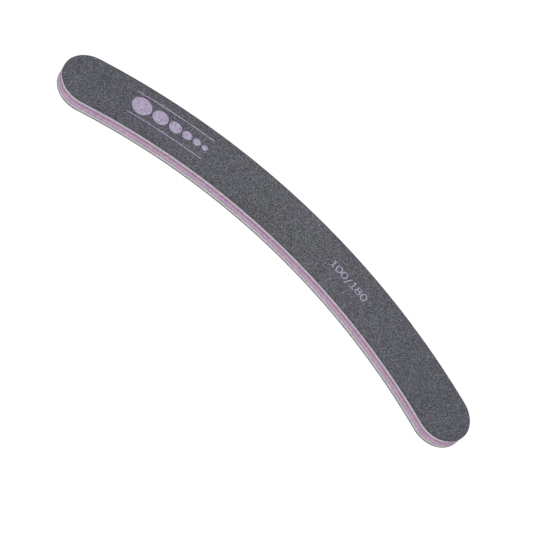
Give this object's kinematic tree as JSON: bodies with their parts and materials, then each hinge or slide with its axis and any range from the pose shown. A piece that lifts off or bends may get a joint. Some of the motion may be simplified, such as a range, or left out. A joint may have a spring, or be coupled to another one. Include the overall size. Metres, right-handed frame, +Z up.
{
  "type": "emery board",
  "caption": "Curved cushioned emery board for shaping nails: coarse and fine grit faces on foam layers over a stiff plastic core, with rounded ends.",
  "frame": {"origin": "middle of the board's footprint, on the surface that it rests on", "axes": "+X along the board from its dotted end to its grit-number end, +Y towards its outward-curving side, +Z up out of its coarse face"},
  "size_m": [0.178, 0.0348, 0.0053],
  "materials": {
    "coarse_grit": "coarse silicon carbide grain in grey resin, about 100 grit",
    "fine_grit": "finer silicon carbide grain in grey resin, about 180 grit",
    "backing_paper": "dark latex-bound paper with a clean die-cut edge",
    "adhesive": "thin double-sided acrylic adhesive film",
    "white_foam": "matte closed-cell white foam with fine cut cells at its edge",
    "pink_foam": "matte closed-cell deep pink foam with fine cut cells at its edge",
    "mauve_foam": "matte closed-cell mauve pink foam with fine cut cells at its edge",
    "plastic_core": "pale pink sheet plastic with a satin cut edge"
  },
  "bodies": {
    "root": {"lower_grit_coat": "fine_grit", "lower_backing_paper": "backing_paper", "lower_paper_adhesive": "adhesive", "lower_white_foam": "white_foam", "lower_foam_adhesive": "adhesive", "lower_pink_foam": "mauve_foam", "lower_core_adhesive": "adhesive", "plastic_core": "plastic_core", "upper_core_adhesive": "adhesive", "upper_pink_foam": "pink_foam", "upper_foam_adhesive": "adhesive", "upper_white_foam": "white_foam", "upper_paper_adhesive": "adhesive", "upper_backing_paper": "backing_paper", "upper_grit_coat": "coarse_grit"}
  },
  "joints": []
}
